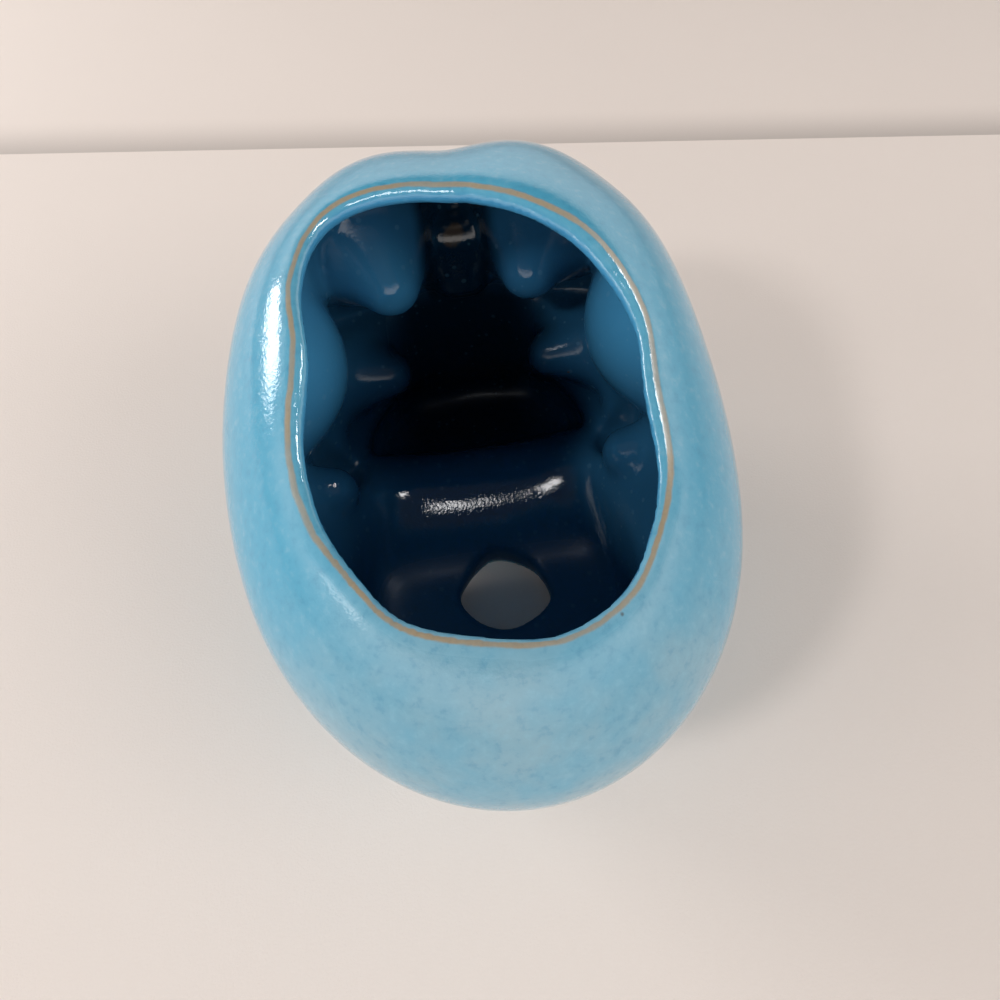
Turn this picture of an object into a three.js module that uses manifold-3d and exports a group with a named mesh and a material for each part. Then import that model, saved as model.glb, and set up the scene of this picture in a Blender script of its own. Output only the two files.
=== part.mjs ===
// Skull planter: a slip-cast stoneware skull, glazed inside and out, with its crown cut open for a plant,
// a hole cut through its floor to drain, and four pads stuck under it.
// Millimetres, +Z up, face towards -Y, standing on Z = 0.

import * as THREE from 'three';
import { RoundedBoxGeometry } from 'three/addons/geometries/RoundedBoxGeometry.js';
import { mergeVertices } from 'three/addons/utils/BufferGeometryUtils.js';
import Module from 'manifold-3d';

const wasm = await Module();
wasm.setup();

// Thickness of the casting
const WALL = 6;
const FLOOR = 6;
const INNER_SOFTENING = 4.5;
const HOLLOW_SOFTENING = 0.75;

// Halves of the skull: where and how softly they meet, and how the face turns right and the crown leans left
const MIDLINE_START = 0.3;
const MIDLINE_EASE = 3;
const FACE_TURN = 0.07;
const TURN_START = -8;
const TURN_EASE = 15;
const SIDE_LEAN = 0.04;
const LEAN_LEVEL = 66;

// Foot and pads
const PAD_RADIUS = 5.5;
const PAD_HEIGHT = 2;
const PAD_EDGE = 0.6;
const PAD_SIDES = 16;
const PAD_PLACES = {
  pad_jaw_left: [14, -62],
  pad_jaw_right: [-14, -62],
  pad_rear_left: [21, 29],
  pad_rear_right: [-21, 29],
};
const FOOT_LEVEL = PAD_HEIGHT;
const FOOT_ROUND = 4.5;
const FOOT_GRINDING = 0.4;

// Hand-cut crown: points that the rim passes through in plan at one level, and the knife's lean to the back
const RIM_POINTS = [
  [-32, 10.5], [-33, -2.5], [-26.5, -13.5], [-16.5, -21.5], [-5, -29.5], [-0.5, -31.8], [10, -33], [26, -31],
  [34, -16.5], [34.5, -1.5], [37.5, 10.5], [35.5, 22.5], [29.5, 33.5], [21.5, 44], [9, 49.5], [-5, 51],
  [-18, 45], [-26, 34], [-31, 22.5],
];
const RIM_STEPS = 60;
const RIM_LEVEL = 115;
const KNIFE_LEAN = 0.5;
const CROWN_CUT_BOTTOM = 70;

// Hand-cut drain hole in the floor behind the throat
const DRAIN_POINTS = [[-1.5, -6.5], [9, 4], [5.5, 13.5], [-3.5, 18], [-13.5, 14.5], [-18, 8], [-13.5, -2.5]];
const DRAIN_STEPS = 28;
const DRAIN_TOP = 20;
const OUTLINE_TENSION = 0.5;

// Teeth: two rows of rounded blocks on one dental arch, the same on both sides of the midline
const ARCH_CENTRE_Y = -52;
const ARCH_HALF_WIDTH = 26.5;
const ARCH_DEPTH = 25;
const TEETH_PER_SIDE = 5;
const TOOTH_PITCH = THREE.MathUtils.degToRad(13);
const TOOTH_WIDTH = 6.2;
const TOOTH_DEPTH = 6.4;
const TOOTH_ROUND = 2.4;
const TOOTH_CORNER_STEPS = 1;
const TOOTH_ROWS = [
  { level: 40.5, height: 12.6 },
  { level: 27.5, height: 11.8 },
];

// Grid of the modelled skin: finer over the face than over the back of the head
const REACH = { x: 64, front: -84, back: 84, top: 124 };
const FACE_END = -4;
const OUTER_GRID = { across: 5.2, face: 4.6, back: 13, up: 5.2 };
const INNER_GRID = { across: 6.6, face: 6, back: 13, up: 6.6 };
const SETTLING_STEPS = 3;

const GLAZE = { color: 0x4fa8c9, roughness: 0.12, metalness: 0 };
const RUBBER = { color: 0xd9d6cc, roughness: 0.6, metalness: 0 };

// Distance to an ellipsoid, near enough to true within a wall's thickness of it
function ellipsoid(centre, radii) {
  return (x, y, z) => {
    const px = (x - centre[0]) / radii[0];
    const py = (y - centre[1]) / radii[1];
    const pz = (z - centre[2]) / radii[2];
    const reach = Math.hypot(px, py, pz);
    const slope = Math.hypot(px / radii[0], py / radii[1], pz / radii[2]);
    return slope > 0 ? (reach * (reach - 1)) / slope : -Math.min(...radii);
  };
}

// Distance to a tapered rod with ball ends
function rod(from, to, fromRadius, toRadius) {
  const axis = to.map((value, i) => value - from[i]);
  const length2 = axis[0] ** 2 + axis[1] ** 2 + axis[2] ** 2;
  const taper = fromRadius - toRadius;
  const side2 = length2 - taper * taper;
  return (x, y, z) => {
    const p = [x - from[0], y - from[1], z - from[2]];
    const along = p[0] * axis[0] + p[1] * axis[1] + p[2] * axis[2];
    const beyond = along - length2;
    let off2 = 0;
    for (let i = 0; i < 3; i += 1) off2 += (p[i] * length2 - axis[i] * along) ** 2;
    const along2 = along * along * length2;
    const beyond2 = beyond * beyond * length2;
    const edge = Math.sign(taper) * taper * taper * off2;
    if (Math.sign(beyond) * side2 * beyond2 > edge) return Math.sqrt(off2 + beyond2) / length2 - toRadius;
    if (Math.sign(along) * side2 * along2 < edge) return Math.sqrt(off2 + along2) / length2 - fromRadius;
    return (Math.sqrt((off2 * side2) / length2) + along * taper) / length2 - fromRadius;
  };
}

// Bone masses of the skull, each with the width of its blend into those before it.
// The forms are mirrored, so a mass that is off the midline stands on both sides.
const MASSES = {
  vault: { form: ellipsoid([0, 3, 66], [58.5, 77, 48]), blend: 1.5 },
  parietal: { form: ellipsoid([18.7, -20, 74], [35.8, 48, 44]), blend: 21 },
  occiput: { form: ellipsoid([0, 22, 56], [40, 43, 44]), blend: 24 },
  forehead: { form: ellipsoid([0, -37, 84], [40.4, 33.8, 31.6]), blend: 29 },
  frontalBoss: { form: ellipsoid([15, -48.7, 99.7], [16.7, 16.7, 13.4]), blend: 12 },
  skullBase: { form: ellipsoid([0, 8, 18], [42, 44, 26]), blend: 36 },
  brow: { form: rod([8, -70, 92], [25.5, -66, 94], 9.4, 5.2), blend: 17 },
  orbitSide: { form: rod([35, -59, 88], [37, -60, 66], 5.5, 5.5), blend: 13.5 },
  cheekbone: { form: rod([25, -68, 60], [42, -58, 60], 8, 7), blend: 12 },
  cheekArch: { form: rod([42, -58, 60], [52, -18, 57], 6.5, 5), blend: 12 },
  noseBridge: { form: rod([0, -70, 90], [0, -75, 74], 6, 5), blend: 12 },
  upperJaw: { form: ellipsoid([0, -56, 46], [27, 22, 22]), blend: 18 },
  toothBed: { form: ellipsoid([0, -53, 33], [26, 24.5, 21]), blend: 12 },
  cheekWall: { form: ellipsoid([0, -42, 34], [44, 25, 27]), blend: 12 },
  jawBlock: { form: ellipsoid([0, -52, 17], [36, 23, 21]), blend: 12 },
  chin: { form: ellipsoid([0, -66, 11], [18, 12, 12]), blend: 13.5 },
  jawBody: { form: rod([18, -64, 14], [41, -31, 17], 10, 9), blend: 13.5 },
  ramus: { form: rod([42, -31, 18], [47, -24, 55], 11, 9), blend: 13.5 },
};

// Hollows pressed into the masses, each with the width of its lip and the thickness of clay behind it.
// Clay builds up thinner round the narrow fingers of a mould.
const HOLLOWS = {
  eyeOpening: { form: ellipsoid([23, -79, 78], [15, 14, 12.5]), blend: 7.5, wall: 5.5 },
  eyeDepth: { form: rod([24, -74, 78], [19.5, -57, 75], 12, 2.5), blend: 7.5, wall: 5.5 },
  temple: { form: ellipsoid([60, -36, 70], [22, 20, 19]), blend: 16.5, wall: 6 },
  cheekHollow: { form: rod([58, -60, 41], [24.5, -53, 45], 13, 1.5), blend: 9, wall: 5 },
  earHollow: { form: rod([64, -15, 38], [42, -18, 38], 7, 1), blend: 7.5, wall: 5 },
  throatFront: { form: rod([-90, -29, 5], [90, -29, 5], 12, 12), blend: 12, wall: 6 },
  throatRear: { form: rod([-90, -21, -5], [90, -21, -5], 15, 15), blend: 12, wall: 6 },
};

// Pear-shaped hollow of the nose, on the midline
const NOSE_HOLLOWS = [
  { y: -80, z: 67, radii: [6.8, 10, 7] },
  { y: -79, z: 73.5, radii: [4.2, 10.5, 9.5] },
];
const NOSE_SIDES = 20;

// Swelling of the inside behind the nose, which is too sharp for the slip to follow
const SWELLINGS = {
  noseBack: { form: rod([3, -71, 64], [3, -71, 78], 6.5, 6.5), blend: 3.75 },
};

// Smaller of two distances, with the corner between them filled to a fillet
function blendedUnion(a, b, width) {
  const overlap = Math.max(width - Math.abs(a - b), 0) / width;
  return Math.min(a, b) - (overlap ** 3 * width) / 6;
}

function blendedCut(a, b, width) {
  return -blendedUnion(-a, b, width);
}

// Middle of the skull across its width, at a distance along it and a level
function midline(y, z) {
  const ahead = TURN_START - y;
  const turned = (FACE_TURN * (ahead + Math.hypot(ahead, TURN_EASE))) / 2;
  return MIDLINE_START + SIDE_LEAN * (z - LEAN_LEVEL) - turned;
}

// Outside or inside of the casting, before its cuts. The inside lies a wall's thickness deeper,
// and its blends are wider, because the slip leaves softer corners than the mould.
function skullField(inside) {
  const depth = inside ? WALL : 0;
  const softening = inside ? INNER_SOFTENING : 0;
  const floorLevel = inside ? FOOT_LEVEL + FLOOR : FOOT_LEVEL - FOOT_GRINDING;
  const masses = Object.values(MASSES);
  const hollows = Object.values(HOLLOWS);
  const swellings = inside ? Object.values(SWELLINGS) : [];
  return (x, y, z) => {
    const side = Math.hypot(x - midline(y, z), MIDLINE_EASE);
    let distance = Infinity;
    for (const { form, blend } of masses) {
      const mass = form(side, y, z) + depth;
      distance = distance === Infinity ? mass : blendedUnion(distance, mass, blend + softening);
    }
    for (const { form, blend, wall } of hollows) {
      const hollow = form(side, y, z) - (inside ? wall : 0);
      distance = blendedCut(distance, hollow, blend + (inside ? HOLLOW_SOFTENING : 0));
    }
    for (const { form, blend } of swellings) distance = blendedCut(distance, form(side, y, z), blend);
    return blendedCut(distance, z - floorLevel, FOOT_ROUND + softening);
  };
}

// Grid lines from one end to the other, with a change of spacing on the way
function gridLines(from, to, spacing, change = to, laterSpacing = spacing) {
  const lines = [];
  const stretches = [[from, change, spacing], [change, to, laterSpacing]];
  for (const [start, end, step] of stretches) {
    const count = Math.round((end - start) / step);
    for (let i = 0; i < count; i += 1) lines.push(start + ((end - start) * i) / count);
  }
  lines.push(to);
  return lines;
}

// Moves a point along the field's slope until it lies on the surface
function settle(field, point) {
  const probe = 0.05;
  const longestStep = 1;
  const leastSteepness = 0.25;
  for (let step = 0; step < SETTLING_STEPS; step += 1) {
    const [x, y, z] = point;
    const value = field(x, y, z);
    const slope = [
      (field(x + probe, y, z) - field(x - probe, y, z)) / (2 * probe),
      (field(x, y + probe, z) - field(x, y - probe, z)) / (2 * probe),
      (field(x, y, z + probe) - field(x, y, z - probe)) / (2 * probe),
    ];
    const steepness = slope[0] ** 2 + slope[1] ** 2 + slope[2] ** 2;
    const move = Math.max(-longestStep, Math.min(longestStep, value)) / Math.max(steepness, leastSteepness);
    for (let i = 0; i < 3; i += 1) point[i] -= move * slope[i];
  }
  return point;
}

// A grid face with two opposite corners inside the body and two outside would join two sheets of skin
// along one edge. Its corner nearest to the surface is put on the other side, until no such face is left.
function clearCrossedFaces(values, stride, count) {
  const justAcross = 0.01;
  let crossed = true;
  while (crossed) {
    crossed = false;
    for (const [u, v] of [[stride[0], stride[1]], [stride[1], stride[2]], [stride[2], stride[0]]]) {
      for (let node = 0; node + u + v < count; node += 1) {
        const corners = [node, node + u, node + u + v, node + v];
        const [a, b, c, d] = corners.map((corner) => values[corner] < 0);
        if (a !== c || b !== d || a === b) continue;
        const nearest = corners.reduce((best, corner) => (
          Math.abs(values[corner]) < Math.abs(values[best]) ? corner : best));
        values[nearest] = values[nearest] < 0 ? justAcross : -justAcross;
        crossed = true;
      }
    }
  }
}

// Skin of a field: one point in each grid cell that the surface crosses,
// and one four-sided face across each grid edge that it crosses
function skin(field, spacing) {
  const lines = [
    gridLines(-REACH.x, REACH.x, spacing.across),
    gridLines(REACH.front, REACH.back, spacing.face, FACE_END, spacing.back),
    gridLines(-spacing.up, REACH.top, spacing.up),
  ];
  const size = lines.map((line) => line.length);
  const stride = [1, size[0], size[0] * size[1]];
  const values = new Float64Array(size[0] * size[1] * size[2]);
  const eachNode = (visit) => {
    for (let k = 0; k < size[2]; k += 1) {
      for (let j = 0; j < size[1]; j += 1) {
        for (let i = 0; i < size[0]; i += 1) visit([i, j, k], i + j * stride[1] + k * stride[2]);
      }
    }
  };
  eachNode(([i, j, k], node) => {
    values[node] = field(lines[0][i], lines[1][j], lines[2][k]);
  });
  clearCrossedFaces(values, stride, values.length);

  const positions = [];
  const pointOfCell = new Int32Array(values.length).fill(-1);
  eachNode((cell, node) => {
    if (cell.some((index, axis) => index === size[axis] - 1)) return;
    const sum = [0, 0, 0];
    let crossings = 0;
    for (let axis = 0; axis < 3; axis += 1) {
      const others = [(axis + 1) % 3, (axis + 2) % 3];
      for (let corner = 0; corner < 4; corner += 1) {
        const offset = [0, 0, 0];
        offset[others[0]] = corner & 1;
        offset[others[1]] = corner >> 1;
        const start = node + offset[0] * stride[0] + offset[1] * stride[1] + offset[2] * stride[2];
        const a = values[start];
        const b = values[start + stride[axis]];
        if (a < 0 === b < 0) continue;
        for (let i = 0; i < 3; i += 1) sum[i] += lines[i][cell[i] + offset[i]];
        const low = lines[axis][cell[axis]];
        const high = lines[axis][cell[axis] + 1];
        sum[axis] += ((high - low) * a) / (a - b);
        crossings += 1;
      }
    }
    if (crossings === 0) return;
    pointOfCell[node] = positions.length / 3;
    positions.push(...settle(field, sum.map((value) => value / crossings)));
  });

  const triangles = [];
  eachNode((cell, node) => {
    for (let axis = 0; axis < 3; axis += 1) {
      const u = (axis + 1) % 3;
      const v = (axis + 2) % 3;
      if (cell[axis] === size[axis] - 1 || cell[u] === 0 || cell[v] === 0) continue;
      const inside = values[node] < 0;
      if (inside === values[node + stride[axis]] < 0) continue;
      const quad = [node - stride[u] - stride[v], node - stride[v], node, node - stride[u]]
        .map((around) => pointOfCell[around]);
      if (!inside) quad.reverse();
      const [a, b, c, d] = quad;
      const gap = (p, q) => Math.hypot(...[0, 1, 2].map((i) => positions[3 * p + i] - positions[3 * q + i]));
      if (gap(a, c) <= gap(b, d)) triangles.push(a, b, c, a, c, d);
      else triangles.push(a, b, d, b, c, d);
    }
  });
  const geometry = new THREE.BufferGeometry();
  geometry.setAttribute('position', new THREE.Float32BufferAttribute(positions, 3));
  geometry.setIndex(triangles);
  return geometry;
}

function toSolid(geometry) {
  geometry.deleteAttribute('normal');
  geometry.deleteAttribute('uv');
  const merged = mergeVertices(geometry);
  return new wasm.Manifold(new wasm.Mesh({
    numProp: 3,
    vertProperties: new Float32Array(merged.getAttribute('position').array),
    triVerts: new Uint32Array(merged.getIndex().array),
  }));
}

function toGeometry(solid) {
  const mesh = solid.getMesh();
  const geometry = new THREE.BufferGeometry();
  geometry.setAttribute('position', new THREE.BufferAttribute(mesh.vertProperties, 3));
  geometry.setIndex(new THREE.BufferAttribute(mesh.triVerts, 1));
  geometry.computeVertexNormals();
  return geometry;
}

// Upright prism of a plan outline between two levels
function prism(outline, bottom, top) {
  const straight = { depth: top - bottom, bevelEnabled: false, curveSegments: 1 };
  const geometry = new THREE.ExtrudeGeometry(outline, straight);
  geometry.translate(0, 0, bottom);
  return geometry;
}

// Outline cut by hand through points
function handCut(points, steps) {
  const corners = points.map(([x, y]) => new THREE.Vector3(x, y, 0));
  const curve = new THREE.CatmullRomCurve3(corners, true, 'catmullrom', OUTLINE_TENSION);
  const outline = curve.getSpacedPoints(steps).slice(0, -1);
  return new THREE.Shape(outline.map(({ x, y }) => new THREE.Vector2(x, y)));
}

// What the knife takes out of the crown: the rim's outline, leaning back as it goes down
function crownCut() {
  const cut = prism(handCut(RIM_POINTS, RIM_STEPS), CROWN_CUT_BOTTOM - RIM_LEVEL, REACH.top - RIM_LEVEL);
  const leaning = new THREE.Matrix4().makeShear(0, 0, 0, 0, 0, -KNIFE_LEAN);
  cut.applyMatrix4(leaning);
  cut.translate(0, 0, RIM_LEVEL);
  return cut;
}

// What the mould presses out of the nose
function noseCuts() {
  return NOSE_HOLLOWS.map(({ y, z, radii }) => {
    const hollow = new THREE.SphereGeometry(1, NOSE_SIDES, NOSE_SIDES / 2);
    hollow.scale(...radii);
    hollow.translate(midline(y, z), y, z);
    return hollow;
  });
}

// One row of teeth: rounded blocks that stand along the arch, each turned to face outwards
function toothRow({ level, height }) {
  const teeth = [];
  for (let place = 0.5 - TEETH_PER_SIDE; place < TEETH_PER_SIDE; place += 1) {
    const turn = place * TOOTH_PITCH;
    const y = ARCH_CENTRE_Y - ARCH_DEPTH * Math.cos(turn);
    const tooth = new RoundedBoxGeometry(TOOTH_WIDTH, TOOTH_DEPTH, height, TOOTH_CORNER_STEPS, TOOTH_ROUND);
    tooth.rotateZ(turn);
    tooth.translate(midline(y, level) + ARCH_HALF_WIDTH * Math.sin(turn), y, level);
    teeth.push(toSolid(tooth));
  }
  return teeth;
}

// The casting: outside with its teeth, hollowed by the inside, cut open at the crown and drain, ground flat
function castSkull() {
  let skull = toSolid(skin(skullField(false), OUTER_GRID));
  for (const row of TOOTH_ROWS) {
    for (const tooth of toothRow(row)) skull = skull.add(tooth);
  }
  const ground = new THREE.BoxGeometry(2 * REACH.x, REACH.back - REACH.front, FOOT_LEVEL);
  ground.translate(0, 0, FOOT_LEVEL / 2);
  const cuts = [
    skin(skullField(true), INNER_GRID),
    crownCut(),
    prism(handCut(DRAIN_POINTS, DRAIN_STEPS), 0, DRAIN_TOP),
    ...noseCuts(),
    ground,
  ];
  for (const cut of cuts) skull = skull.subtract(toSolid(cut));
  return toGeometry(skull);
}

// Stick-on pad: a low turned disc with its lower edge rounded off
function padGeometry() {
  const profile = [
    [0, 0], [PAD_RADIUS - 2 * PAD_EDGE, 0], [PAD_RADIUS - PAD_EDGE, PAD_EDGE / 2], [PAD_RADIUS, PAD_EDGE * 2],
    [PAD_RADIUS, PAD_HEIGHT], [0, PAD_HEIGHT],
  ];
  const geometry = new THREE.LatheGeometry(profile.map(([r, z]) => new THREE.Vector2(r, z)), PAD_SIDES);
  geometry.rotateX(Math.PI / 2);
  return geometry;
}

function piece(name, geometry, finish) {
  const mesh = new THREE.Mesh(geometry, new THREE.MeshStandardMaterial(finish));
  mesh.name = name;
  return mesh;
}

const planter = new THREE.Group();
planter.add(piece('skull_shell', castSkull(), GLAZE));
for (const [name, [x, y]] of Object.entries(PAD_PLACES)) {
  const pad = piece(name, padGeometry(), RUBBER);
  pad.position.set(x + midline(y, FOOT_LEVEL), y, 0);
  planter.add(pad);
}

export default planter;
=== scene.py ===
"""Skull planter: a slip-cast stoneware skull in turquoise glaze, its crown cut open for a plant,
a drain hole cut through its floor, standing on four stick-on pads.

The clay is worked out in millimetres, face towards -Y and +Z up, as a field that is negative inside the wall."""

import math

import bpy
import numpy as np
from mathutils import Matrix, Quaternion, Vector


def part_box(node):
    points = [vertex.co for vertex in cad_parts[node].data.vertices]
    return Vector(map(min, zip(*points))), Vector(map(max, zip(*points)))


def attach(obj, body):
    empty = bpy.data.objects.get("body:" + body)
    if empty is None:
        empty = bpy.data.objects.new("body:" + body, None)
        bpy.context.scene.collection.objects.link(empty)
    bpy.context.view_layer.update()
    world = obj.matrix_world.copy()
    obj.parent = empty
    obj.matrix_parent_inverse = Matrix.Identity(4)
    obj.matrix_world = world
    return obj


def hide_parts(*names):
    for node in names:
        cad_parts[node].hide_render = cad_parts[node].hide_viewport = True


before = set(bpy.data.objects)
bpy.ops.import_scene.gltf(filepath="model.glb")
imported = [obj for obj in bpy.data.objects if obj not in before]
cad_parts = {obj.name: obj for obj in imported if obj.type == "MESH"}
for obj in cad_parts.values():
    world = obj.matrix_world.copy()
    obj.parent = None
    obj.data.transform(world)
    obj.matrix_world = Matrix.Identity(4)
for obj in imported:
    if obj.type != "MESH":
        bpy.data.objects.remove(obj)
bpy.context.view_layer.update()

bl_info = {
    "name": "Skull Planter",
    "version": (1, 0, 0),
    "blender": (4, 5, 0),
    "location": "3D View > Sidebar > Planter",
    "description": "Makes a glazed stoneware skull planter with its pads and a studio stage",
    "category": "Add Mesh",
}

MM = 0.001
SKULL_NODE = "skull_shell"
PAD_NODES = sorted(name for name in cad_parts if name.startswith("pad_"))
FOOT_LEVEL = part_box(PAD_NODES[0])[1].z / MM
PAD_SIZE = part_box(PAD_NODES[0])[1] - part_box(PAD_NODES[0])[0]

# Bone masses: ellipsoids by centre and radii, rods by their ends and end radii, each with the width of its blend
MASSES = {
    "vault": ("ellipsoid", (0, 3, 66), (58.5, 77, 48), 1.5),
    "parietal": ("ellipsoid", (18.7, -20, 74), (35.8, 48, 44), 21),
    "occiput": ("ellipsoid", (0, 22, 56), (40, 43, 44), 24),
    "forehead": ("ellipsoid", (0, -37, 84), (40.4, 33.8, 31.6), 29),
    "frontal_boss": ("ellipsoid", (15, -48.7, 99.7), (16.7, 16.7, 13.4), 12),
    "skull_base": ("ellipsoid", (0, 8, 18), (42, 44, 26), 36),
    "brow": ("rod", ((8, -70, 92), (25.5, -66, 94)), (9.4, 5.2), 17),
    "orbit_side": ("rod", ((35, -59, 88), (37, -60, 66)), (5.5, 5.5), 13.5),
    "cheekbone": ("rod", ((25, -68, 60), (42, -58, 60)), (8, 7), 12),
    "cheek_arch": ("rod", ((42, -58, 60), (52, -18, 57)), (6.5, 5), 12),
    "nose_bridge": ("rod", ((0, -70, 90), (0, -75, 74)), (6, 5), 12),
    "upper_jaw": ("ellipsoid", (0, -56, 46), (27, 22, 22), 18),
    "tooth_bed": ("ellipsoid", (0, -53, 33), (26, 24.5, 21), 12),
    "cheek_wall": ("ellipsoid", (0, -42, 34), (44, 25, 27), 12),
    "jaw_block": ("ellipsoid", (0, -52, 17), (36, 23, 21), 12),
    "chin": ("ellipsoid", (0, -66, 11), (18, 12, 12), 13.5),
    "jaw_body": ("rod", ((18, -64, 14), (41, -31, 17)), (10, 9), 13.5),
    "ramus": ("rod", ((42, -31, 18), (47, -24, 55)), (11, 9), 13.5),
}

# Hollows pressed into the masses, each with the width of its lip and the clay behind it;
# the inside doesn't follow the nose, which is too sharp for the slip
HOLLOWS = {
    "eye_opening": ("ellipsoid", (23, -79, 78), (15, 14, 12.5), 7.5, 5.5),
    "eye_depth": ("rod", ((24, -74, 78), (19.5, -57, 75)), (12, 2.5), 7.5, 5.5),
    "nose_low": ("ellipsoid", (3.4, -80, 67), (4, 10, 7), 4.5, None),
    "nose_high": ("ellipsoid", (2.6, -79, 73.5), (2.7, 10.5, 9.5), 4.5, None),
    "temple": ("ellipsoid", (60, -36, 70), (22, 20, 19), 16.5, 6),
    "cheek_hollow": ("rod", ((58, -60, 41), (24.5, -53, 45)), (13, 1.5), 9, 5),
    "ear_hollow": ("rod", ((64, -15, 38), (42, -18, 38)), (7, 1), 7.5, 5),
    "throat_front": ("rod", ((-90, -29, 5), (90, -29, 5)), (12, 12), 12, 6),
    "throat_rear": ("rod", ((-90, -21, -5), (90, -21, -5)), (15, 15), 12, 6),
}

# Swellings of the inside alone
SWELLINGS = {
    "nose_back": ("rod", ((3, -71, 64), (3, -71, 78)), (6.5, 6.5), 3.75),
}

# Halves of the skull: where and how softly they meet, and how the face turns right and the crown leans left
MIDLINE_START = 0.3
MIDLINE_EASE = 3
FACE_TURN = 0.07
TURN_START = -8
TURN_EASE = 15
SIDE_LEAN = 0.04
LEAN_LEVEL = 66

# Softer corners inside the casting than outside
INNER_SOFTENING = 4.5
HOLLOW_SOFTENING = 0.75
FOOT_ROUND = 4.5
WALL_EDGE_BLEND = 1.5

# Hand-cut crown and drain hole, in plan, and the middle that each outline is measured round
RIM_POINTS = (
    (-32, 10.5), (-33, -2.5), (-26.5, -13.5), (-16.5, -21.5), (-5, -29.5), (-0.5, -31.8), (10, -33), (26, -31),
    (34, -16.5), (34.5, -1.5), (37.5, 10.5), (35.5, 22.5), (29.5, 33.5), (21.5, 44), (9, 49.5), (-5, 51),
    (-18, 45), (-26, 34), (-31, 22.5),
)
RIM_MIDDLE = (2, 10.5)
RIM_LEVEL = 115
KNIFE_LEAN = 0.5
BACK_UPRIGHT = 0.35
BACK_LEVEL = 99
BACK_START = 5
BACK_END = 45
LIP_ENDS = 0.6
LIP_SIDES = 2.0
LIP_GROWS = (-28, -8)
LIP_SHRINKS = (22, 45)
CROWN_CUT_BOTTOM = 70
DRAIN_POINTS = ((-1.5, -6.5), (9, 4), (5.5, 13.5), (-3.5, 18), (-13.5, 14.5), (-18, 8), (-13.5, -2.5))
DRAIN_MIDDLE = (-4.5, 6)
DRAIN_TOP = 20
OUTLINE_STEPS = 24

# Teeth: rounded blocks along the dental arch
ARCH_CENTRE_Y = -52
ARCH_HALF_WIDTH = 26.5
ARCH_DEPTH = 25
TEETH_PER_SIDE = 5
TOOTH_PITCH = math.radians(13)
TOOTH_HALF_WIDTH = 3.1
TOOTH_HALF_DEPTH = 3.2
TOOTH_ROUND = 2.4
TOOTH_GUM_BLEND = 2.25
TOOTH_ROWS = ((40.5, 6.3), (27.5, 5.9))

# Glaze: patterns by their scale and detail, and shares of a colour that a pattern brings in
CLOUDS = (45.0, 3.0)
WAVES = (160.0, 3.0)
MOTTLE = (420.0, 4.0)
FINE_GRAIN = (1300.0, 2.0)
CLOUD_SWING = 0.8
BEND_DRAW = 3.0
POOLED_THICKNESS = (0.05, 0.6)
POOLED_SHARE = 0.65
THIN_THICKNESS = (-0.15, -0.7)
THIN_SHARE = 0.3
MILKY_CLOUDS = (0.25, 0.7, 0.3, 0.8)
DARK_MOTTLE = (0.5, 0.75, 0.0, 0.32)
PALE_MOTTLE = (0.5, 0.25, 0.0, 0.32)
MILK_FLECKS = {"Scale": 420.0, "Size": 0.30, "Share": 0.25}
MILK_SHARE = 0.10
IRON_SPECKS = {"Scale": 60.0, "Size": 0.05, "Share": 0.04}
IRON_SHARE = 0.8

# Glaze by place, and shade painted on it inside the pot, in millimetres from where a change starts to where it is
# full, and the share that it reaches
MILKY_ALONG = (30, 75)
INSIDE_DEPTH = (1.2, 2.8)
# Painted shade inside: down the pot, under the brow, on the right side, down behind the face and behind the nose
PAINTED_SHADE_LEVEL = (80, 40)
FLOOR_ALONG, FLOOR_SHARE = (-48, -28), 0.72
BROW_ALONG, BROW_SHARE = (-50, -64), 0.8
SHADED_ALONG, SHADED_ACROSS, SHADED_SHARE = (-38, -54), (-8, -14), 0.85
FACE_MIDDLE = -3
PIT_SHADE_ALONG, PIT_SHADE_LEVEL = (-34, -58), (72, 52)
PIT_SHADE_ACROSS, PIT_SHADE_SHARE = (32, 14), 0.35
NOSE_ALONG, NOSE_ACROSS = (-48, -57), (12, 8)
KNOB_PLACE = (-2.5, -66, 82.2)
KNOB_REACH = 3.6
KNOB_RAGGEDNESS = 5

# Bare clay along the rim and at the foot, and where the glaze is dull, in millimetres
LINE_WAVER, LINE_SHIFT = 1.0, -1.1
LINE_EDGES = (0.5, 1.3)
LINE_DEPTH = (2.5, 3.5)
LINE_LEVEL = (CROWN_CUT_BOTTOM, CROWN_CUT_BOTTOM + 8)
LINE_CLOUDS = (0.3, 0.6, 0.75, 1.0)
LINE_SHARE = 0.9
FOOT_WAVER, FOOT_DROP, FOOT_EDGE = 0.8, 0.2, 0.4
DARK_CLAY = 0.75
DULL_BY_LINE, DULL_ALONG, DULL_LEVEL = (2.0, 3.5), (26, 40), (15, 10)
DULL_ROUGHNESS, CLAY_ROUGHNESS = 0.38, 0.5
FULL_SHEEN, DULL_SHEEN = 0.5, 0.1
RIPPLE_HEIGHT, PEEL_HEIGHT = 0.09, 0.05
GLAZE_IOR = 1.58

# Rubber of the pads
PAD_CLOUDS = (220.0, 4.0)
PAD_GRAIN = (2600.0, 2.0)
PAD_SHADE = 0.82
PAD_ROUGHNESS = (0.3, 0.7, 0.48, 0.66)

# Mesh attributes: how far they reach, and how wide a bend is felt for
ATTRIBUTE_REACH = 20.0
BEND_PROBE = 1.2

# Space that the skin is looked for in
REACH_LOW = (-63, -83, -1)
REACH_HIGH = (63, 83, 124)


def millimetres(name, description, default):
    """A length property in scene units, with its default given in millimetres."""
    return bpy.props.FloatProperty(
        name=name, description=description, default=default * MM, min=0.0, unit="LENGTH", precision=4)


def colour(name, description, default):
    """A colour property in linear light."""
    return bpy.props.FloatVectorProperty(
        name=name, description=description, default=default, size=3, min=0.0, max=1.0, subtype="COLOR")


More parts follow.
